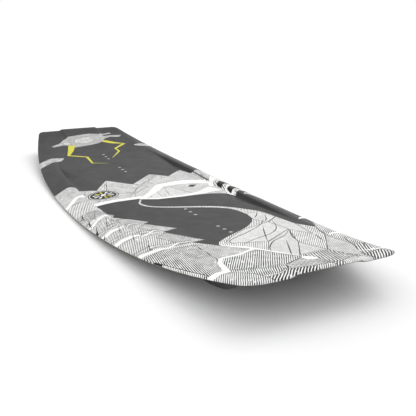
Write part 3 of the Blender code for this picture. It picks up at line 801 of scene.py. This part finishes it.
FIN_OFFSET_Y = 0.120
FIN_START = 0.456
FIN_END = 0.660
BLADE_CENTRE = 0.558
BLADE_HALF_LENGTH = 0.090
FIN_DEPTH = 0.0242
FLANGE_THICKNESS = 0.0024
FLANGE_HALF_WIDTH = 0.0070
BLADE_ROOT_HALF = 0.0028
BLADE_EDGE_HALF = 0.0012
FIN_GAP = 0.0003
BLADE_POWER = 2.6
BLADE_ROUNDING = 0.87
ROOT_FILLET = 0.0022
ROOT_SPREAD = 0.0030
FLANGE_ROUND = 0.0009
FLANGE_END_ROUND = 0.0070
SCREW_X = (0.4625, 0.6535)
FIN_INSERT_RADIUS = 0.0045
FIN_INSERT_ROOM = 0.0007


def fin_depth(x):
    """How far the blade stands below the base: level in the middle, round at both ends."""
    share = min(1.0, abs(x - BLADE_CENTRE) / BLADE_HALF_LENGTH)
    return FIN_DEPTH * (1 - share ** BLADE_POWER) ** BLADE_ROUNDING


def fin_section(half, depth):
    """Half the fin's section as (offset, drop) pairs, from the flange's edge inwards."""
    lowest = max(depth, FLANGE_THICKNESS)
    points = [(half, 0.0), (half, FLANGE_THICKNESS - FLANGE_ROUND)]
    for k in range(1, 4):
        turn = math.pi / 2 * k / 3
        points.append((half - FLANGE_ROUND * (1 - math.cos(turn)),
                       FLANGE_THICKNESS - FLANGE_ROUND * (1 - math.sin(turn))))
    slim = (BLADE_ROOT_HALF - BLADE_EDGE_HALF) / FIN_DEPTH
    spread = np.linspace(1, 0, 7)[:-1] ** 1.6
    for share in spread:
        offset = min(BLADE_ROOT_HALF + ROOT_SPREAD * share, half - 0.0010)
        drop = FLANGE_THICKNESS + ROOT_FILLET * (1 - share) ** 3
        points.append((offset, min(drop, lowest)))
    blade = max(0.0, depth - FLANGE_THICKNESS - ROOT_FILLET)
    for share in (0.15, 0.4, 0.7, 0.9, 1.0):
        drop = max(FLANGE_THICKNESS + ROOT_FILLET + (blade - BLADE_EDGE_HALF) * share,
                   FLANGE_THICKNESS)
        drop = min(drop, lowest)
        points.append((min(BLADE_ROOT_HALF - slim * drop, half - 0.0012), drop))
    last = points[-1][0]
    for k in range(1, 4):
        turn = math.pi / 2 * k / 4
        points.append((last * math.cos(turn),
                       min(lowest, points[-k][1] + last * math.sin(turn))))
    return points


def build_fin(name, node, end, side, material):
    """A moulded fin: a flange that follows the base, and the blade standing out of it."""
    end_steps = (0.0, 0.0004, 0.0015, 0.0035, FLANGE_END_ROUND)
    stations = [FIN_START + step for step in end_steps]
    stations += [BLADE_CENTRE - BLADE_HALF_LENGTH * math.cos(math.pi * k / 48) for k in range(49)]
    stations += [FIN_END - step for step in end_steps[::-1]]
    vertices = []
    for x in stations:
        past = max(FIN_START + FLANGE_END_ROUND - x, x - (FIN_END - FLANGE_END_ROUND), 0.0)
        half = FLANGE_HALF_WIDTH * math.sqrt(max(0.06, 1 - (past / FLANGE_END_ROUND) ** 2))
        section = fin_section(half, fin_depth(x))
        section += [(-offset, drop) for offset, drop in section[::-1]]
        size = len(section)
        for offset, drop in section:
            y = FIN_OFFSET_Y + offset
            top = float(base_z(x, y)) - FIN_GAP
            vertices.append((end * x, side * y, top - drop))
    faces = [tuple(range(size))[::-1], tuple(range(len(vertices) - size, len(vertices)))]
    for section in range(len(stations) - 1):
        low = section * size
        for corner in range(size):
            after = (corner + 1) % size
            faces.append((low + corner, low + after, low + size + after, low + size + corner))
    if end * side < 0:
        faces = [face[::-1] for face in faces]
    fin = new_mesh(name, vertices, faces, 50)
    finish_piece(fin, material, "fin_plastic", node)


def build_fin_screws(where, end, side, material):
    """Button-head screws with a hexagon socket, up through the fin's flange."""
    seat = -FLANGE_THICKNESS - FIN_GAP
    bottom = seat - 0.0020
    profile = [(0, bottom + 0.0013), (0.0015, bottom + 0.0013, 6), (0.0015, bottom + 0.0001, 6),
               (0.0019, bottom), (0.0027, bottom + 0.0001), (0.0035, bottom + 0.0005),
               (0.0040, bottom + 0.0010), (0.0042, bottom + 0.0016), (0.0042, seat),
               (0.0018, seat), (0.0018, 0.0030), (0, 0.0030)]
    for number, x in enumerate(SCREW_X, start=1):
        reach = 0.004
        y = side * FIN_OFFSET_Y
        level, ahead, behind = base_z([end * x, end * x + reach, end * x - reach], [y, y, y])
        tilt = math.atan((ahead - behind) / (2 * reach))
        vertices, faces = lathe(profile, 24, (end * x, y, float(level)), tilt)
        screw = new_mesh(f"button_head_screw_{where}_{number}", vertices, faces)
        finish_piece(screw, material, "screw_steel", f"fin_screw_{where}_{number}")


# -------------------- materials
class Nodes:
    """A short way to write a material's node tree."""

    def __init__(self, name, roughness=0.4, metallic=0.0):
        self.material = bpy.data.materials.new(name)
        self.material.use_nodes = True
        self.tree = self.material.node_tree
        self.shader = self.tree.nodes["Principled BSDF"]
        self.set("Roughness", roughness)
        self.set("Metallic", metallic)

    def set(self, socket, value):
        self.shader.inputs[socket].default_value = value

    def link(self, source, target):
        self.tree.links.new(source, target)

    def feed(self, socket, value):
        if hasattr(value, "is_output"):
            self.link(value, socket)
        else:
            socket.default_value = value

    def node(self, kind, **inputs):
        """Add a node and feed its inputs, whose names have _ for a space."""
        node = self.tree.nodes.new("ShaderNode" + kind)
        for name, value in inputs.items():
            self.feed(node.inputs[name.replace("_", " ")], value)
        return node

    def place(self, scale=(1, 1, 1), turn=0.0):
        """Object coordinates, stretched and turned about Z."""
        coordinates = self.node("TexCoord").outputs["Object"]
        mapping = self.node("Mapping", Vector=coordinates, Scale=scale, Rotation=(0, 0, turn))
        return mapping.outputs["Vector"]

    def noise(self, scale, detail=3.0, rough=0.5, vector=None):
        node = self.node("TexNoise", Vector=vector or self.place(), Scale=scale, Detail=detail,
                         Roughness=rough)
        return node.outputs["Fac"]

    def cells(self, scale):
        return self.node("TexVoronoi", Vector=self.place(), Scale=scale).outputs["Distance"]

    def waves(self, scale, direction, distortion):
        node = self.node("TexWave", Vector=self.place(), Scale=scale, Distortion=distortion)
        node.bands_direction = direction
        return node.outputs["Fac"]

    def math(self, operation, a, b=0.0):
        node = self.node("Math")
        node.operation = operation
        for socket, value in zip(node.inputs, (a, b)):
            self.feed(socket, value)
        return node.outputs["Value"]

    def spread(self, value, low, high, to_low, to_high):
        node = self.node("MapRange", Value=value, From_Min=low, From_Max=high, To_Min=to_low,
                         To_Max=to_high)
        return node.outputs["Result"]

    def vary(self, value, to_low=0.0, to_high=1.0):
        """Stretch the middle of a noise over a range."""
        return self.spread(value, 0.3, 0.7, to_low, to_high)

    def parts(self, vector):
        """The X, Y and Z of a vector."""
        return tuple(self.node("SeparateXYZ", Vector=vector).outputs)

    def mix(self, share, a, b, blend="MIX"):
        node = self.node("Mix")
        node.data_type = "RGBA"
        node.blend_type = blend
        self.feed(node.inputs[0], share)
        for socket, value in ((node.inputs[6], a), (node.inputs[7], b)):
            self.feed(socket, (*value, 1.0) if isinstance(value, tuple) else value)
        return node.outputs[2]

    def attribute(self, name, output):
        node = self.node("Attribute")
        node.attribute_name = name
        return node.outputs[output]

    def colour(self, value):
        self.link(value, self.shader.inputs["Base Color"])

    def roughness(self, value):
        self.link(value, self.shader.inputs["Roughness"])

    def bump(self, height, strength, distance):
        node = self.node("Bump", Height=height, Strength=strength, Distance=distance)
        self.link(node.outputs["Normal"], self.shader.inputs["Normal"])


def print_material():
    """Satin printed sheet: tone and hatching come from the mesh's print attributes."""
    m = Nodes("printed_sheet_satin")
    lines_x, lines_y, share = m.parts(m.attribute("print_hatch", "Vector"))
    x, y, _ = m.parts(m.place())
    phase = m.math("ADD", m.math("MULTIPLY", lines_x, x), m.math("MULTIPLY", lines_y, y))
    sway = m.math("MULTIPLY", m.noise(9, 1), 1.3)
    wobble = m.math("MULTIPLY", m.noise(90, 1), 0.4)
    saw = m.math("PINGPONG", m.math("ADD", m.math("ADD", phase, sway), wobble), 0.5)
    weight = m.vary(m.noise(55, 2), 0.75, 1.25)
    duty = m.math("MULTIPLY", m.math("MULTIPLY", share, weight), 0.5)
    line = m.spread(saw, m.math("ADD", duty, -0.05), m.math("ADD", duty, 0.03), 1.0, 0.0)
    hatched = m.math("GREATER_THAN", share, 0.01)
    breaks = m.spread(m.noise(120, 2), 0.30, 0.36, 0.15, 1.0)
    ink = m.math("MULTIPLY", m.math("MULTIPLY", line, hatched), breaks)
    tone = m.attribute("print_tone", "Color")
    colour = m.mix(ink, tone, INK)
    blotch = m.spread(m.noise(7, 4), 0.25, 0.75, 0.98, 1.02)
    speckle = m.vary(m.noise(2600, 2), 0.95, 1.05)
    shade = m.math("MULTIPLY", blotch, speckle)
    combine = m.node("CombineColor", Red=shade, Green=shade, Blue=shade)
    m.colour(m.mix(1.0, colour, combine.outputs["Color"], "MULTIPLY"))
    scuffs = m.noise(160, 5, 0.7, m.place((0.12, 1, 1), 0.4))
    m.roughness(m.math("ADD", m.vary(m.noise(30, 4), 0.36, 0.44),
                       m.spread(scuffs, 0.62, 0.75, 0.0, 0.10)))
    m.set("Specular IOR Level", 0.08)
    m.bump(m.math("ADD", m.noise(900, 2), m.math("MULTIPLY", ink, 0.25)), 0.12, 0.0002)
    return m.material


def edge_material():
    """Pale cast resin, slightly cloudy, turning dark grey towards both tips as painted shade."""
    m = Nodes("cast_edge_resin", 0.35)
    cloud = m.noise(60, 4)
    pale = m.mix(m.vary(cloud), (0.70, 0.68, 0.46), (0.58, 0.55, 0.32))
    # painted shade: the edge colour turns dark grey towards both tips, where the edge stands in the
    # shade under the raised tips
    x, _, _ = m.parts(m.place())
    along = m.spread(m.math("ABSOLUTE", x), 0.40, 0.60, 0.0, 1.0)
    m.colour(m.mix(along, pale, (0.09, 0.09, 0.085)))
    m.roughness(m.vary(m.noise(220, 3), 0.26, 0.42))
    m.set("Subsurface Weight", 0.15)
    m.set("Subsurface Radius", (0.002, 0.002, 0.001))
    m.bump(m.noise(500, 3), 0.15, 0.0002)
    return m.material


def base_material():
    """Smooth black running base with faint lengthwise polishing marks."""
    m = Nodes("running_base_black", 0.32)
    streaks = m.noise(120, 4, 0.6, m.place((0.05, 1, 1)))
    m.colour(m.mix(m.vary(streaks), (0.030, 0.030, 0.032),
                   (0.055, 0.055, 0.058)))
    m.roughness(m.math("ADD", m.vary(m.noise(25, 4), 0.24, 0.36),
                       m.spread(streaks, 0.6, 0.8, 0.0, 0.10)))
    m.set("Coat Weight", 0.2)
    m.set("Coat Roughness", 0.15)
    m.bump(streaks, 0.08, 0.0002)
    return m.material


def fin_material():
    """Moulded black plastic with a fine spark-eroded grain."""
    m = Nodes("fin_plastic_black", 0.45)
    grain = m.noise(2200, 3, 0.6)
    m.colour(m.mix(m.vary(m.noise(40, 3)), (0.020, 0.020, 0.021),
                   (0.034, 0.034, 0.036)))
    m.roughness(m.vary(grain, 0.38, 0.55))
    m.bump(m.math("ADD", grain, m.math("MULTIPLY", m.cells(1500), 0.5)), 0.25, 0.0002)
    return m.material


def metal_material(name, light, dark, ring_scale):
    """Turned metal with fine tool marks and small stains."""
    m = Nodes(name, 0.3, 1.0)
    marks = m.noise(ring_scale, 3, 0.6, m.place((1, 1, 9)))
    stain = m.noise(400, 3)
    m.colour(m.mix(m.spread(stain, 0.35, 0.75, 0.0, 1.0), light, dark))
    m.roughness(m.vary(marks, 0.22, 0.40))
    m.bump(marks, 0.2, 0.0001)
    return m.material


def glass_material():
    """Clear resin over woven glass cloth."""
    m = Nodes("glass_cloth_laminate", 0.35)
    warp = m.waves(260, "X", 0.4)
    weft = m.waves(260, "Y", 0.4)
    weave = m.math("MAXIMUM", warp, weft)
    m.colour(m.mix(weave, (0.52, 0.50, 0.34), (0.78, 0.77, 0.62)))
    m.roughness(m.spread(weave, 0, 1, 0.45, 0.25))
    m.bump(weave, 0.3, 0.0002)
    return m.material


def foam_material():
    """Fine closed-cell foam."""
    m = Nodes("core_foam_cells", 0.9)
    cell = m.cells(900)
    m.colour(m.mix(m.spread(cell, 0.0, 0.6, 0.0, 1.0), (0.62, 0.52, 0.30), (0.86, 0.78, 0.55)))
    m.roughness(m.vary(m.noise(300, 3), 0.82, 0.95))
    m.bump(cell, 0.5, 0.0005)
    return m.material


def phenolic_material():
    """Brown cloth-filled phenolic plate."""
    m = Nodes("phenolic_cloth_plate", 0.5)
    weave = m.math("MULTIPLY", m.waves(500, "X", 0.3), m.waves(500, "Y", 0.3))
    m.colour(m.mix(weave, (0.20, 0.09, 0.035), (0.34, 0.18, 0.08)))
    m.roughness(m.vary(m.noise(200, 3), 0.42, 0.58))
    m.bump(weave, 0.2, 0.0002)
    return m.material


def dress_hidden_nodes(metal):
    """Materials for the pieces inside the board, which keep their CAD shape."""
    finishes = {"insert_plate": phenolic_material(), "fin_insert": metal}
    for name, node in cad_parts.items():
        for start, finish in finishes.items():
            if name.startswith(start):
                node.data.materials.clear()
                node.data.materials.append(finish)


# -------------------- studio
def build_studio():
    """A pale floor, a white surround and one broad soft light."""
    bpy.ops.mesh.primitive_plane_add(size=60, location=(0, 0, -0.0002))
    floor = bpy.context.object
    floor.name = "studio_floor"
    m = Nodes("floor_paper", 0.9)
    m.set("Specular IOR Level", 0.0)
    tint = m.vary(m.noise(3, 2))
    m.colour(m.mix(tint, (0.93, 0.93, 0.93), (0.95, 0.95, 0.95)))
    floor.data.materials.append(m.material)
    world = bpy.data.worlds.new("white_surround")
    world.use_nodes = True
    background = world.node_tree.nodes["Background"]
    background.inputs["Color"].default_value = (1, 1, 1, 1)
    background.inputs["Strength"].default_value = 1.0
    bpy.context.scene.world = world
    lamp_data = bpy.data.lights.new("overhead_light", "SUN")
    lamp_data.energy = 0.6
    lamp_data.angle = math.radians(45)
    lamp = add_object("overhead_light", lamp_data)
    lamp.rotation_mode = "QUATERNION"
    lamp.rotation_quaternion = Vector((0.6, -1.5, -2.3)).to_track_quat("-Z", "Y")


CAMERA_PLACE = (1.2869, -0.5015, 0.3951)
CAMERA_AZIMUTH = 62.91
CAMERA_ELEVATION = 17.10
CAMERA_LENS = 49.36


def build_camera():
    """A camera low over the nose, looking back along the board."""
    data = bpy.data.cameras.new("camera")
    data.lens = CAMERA_LENS
    data.sensor_width = 36
    camera = add_object("camera", data)
    around = math.radians(CAMERA_AZIMUTH)
    above = math.radians(CAMERA_ELEVATION)
    back = Vector((math.sin(around) * math.cos(above), -math.cos(around) * math.cos(above),
                   math.sin(above)))
    camera.location = CAMERA_PLACE
    camera.rotation_mode = "QUATERNION"
    camera.rotation_quaternion = (-back).to_track_quat("-Z", "Y")
    bpy.context.scene.camera = camera


def main():
    bpy.context.scene.view_settings.view_transform = "Standard"
    build_studio()
    build_camera()
    draw_light_ground()
    draw_band_facets()
    draw_band_streaks()
    draw_ring_mark()
    draw_spikes()
    draw_nose_facets()
    draw_nose_lines()
    draw_tail()
    places = insert_places()
    deck_holes = [((place.x, place.y), NECK_RADIUS + HOLE_GAP) for place, _ in places]
    base_holes = [((end * x, side * FIN_OFFSET_Y), FIN_INSERT_RADIUS + FIN_INSERT_ROOM)
                  for end in (1, -1) for side in (1, -1) for x in SCREW_X]
    build_top_sheet(deck_holes, print_material())
    build_base_sheet(base_holes, base_material())
    build_laminates(deck_holes, base_holes, glass_material())
    build_core(foam_material())
    build_edge_band(edge_material())
    insert_metal = metal_material("insert_bright_metal", (0.66, 0.69, 0.73),
                                  (0.48, 0.51, 0.55), 700)
    build_inserts(places, insert_metal)
    steel = metal_material("screw_stainless", (0.66, 0.66, 0.67), (0.50, 0.50, 0.51), 900)
    plastic = fin_material()
    for end, end_name in ((1, "nose"), (-1, "tail")):
        for side, side_name in ((1, "left"), (-1, "right")):
            where = f"{end_name}_{side_name}"
            build_fin(f"moulded_fin_{where}", f"fin_{where}", end, side, plastic)
            build_fin_screws(where, end, side, steel)
    dress_hidden_nodes(insert_metal)


main()
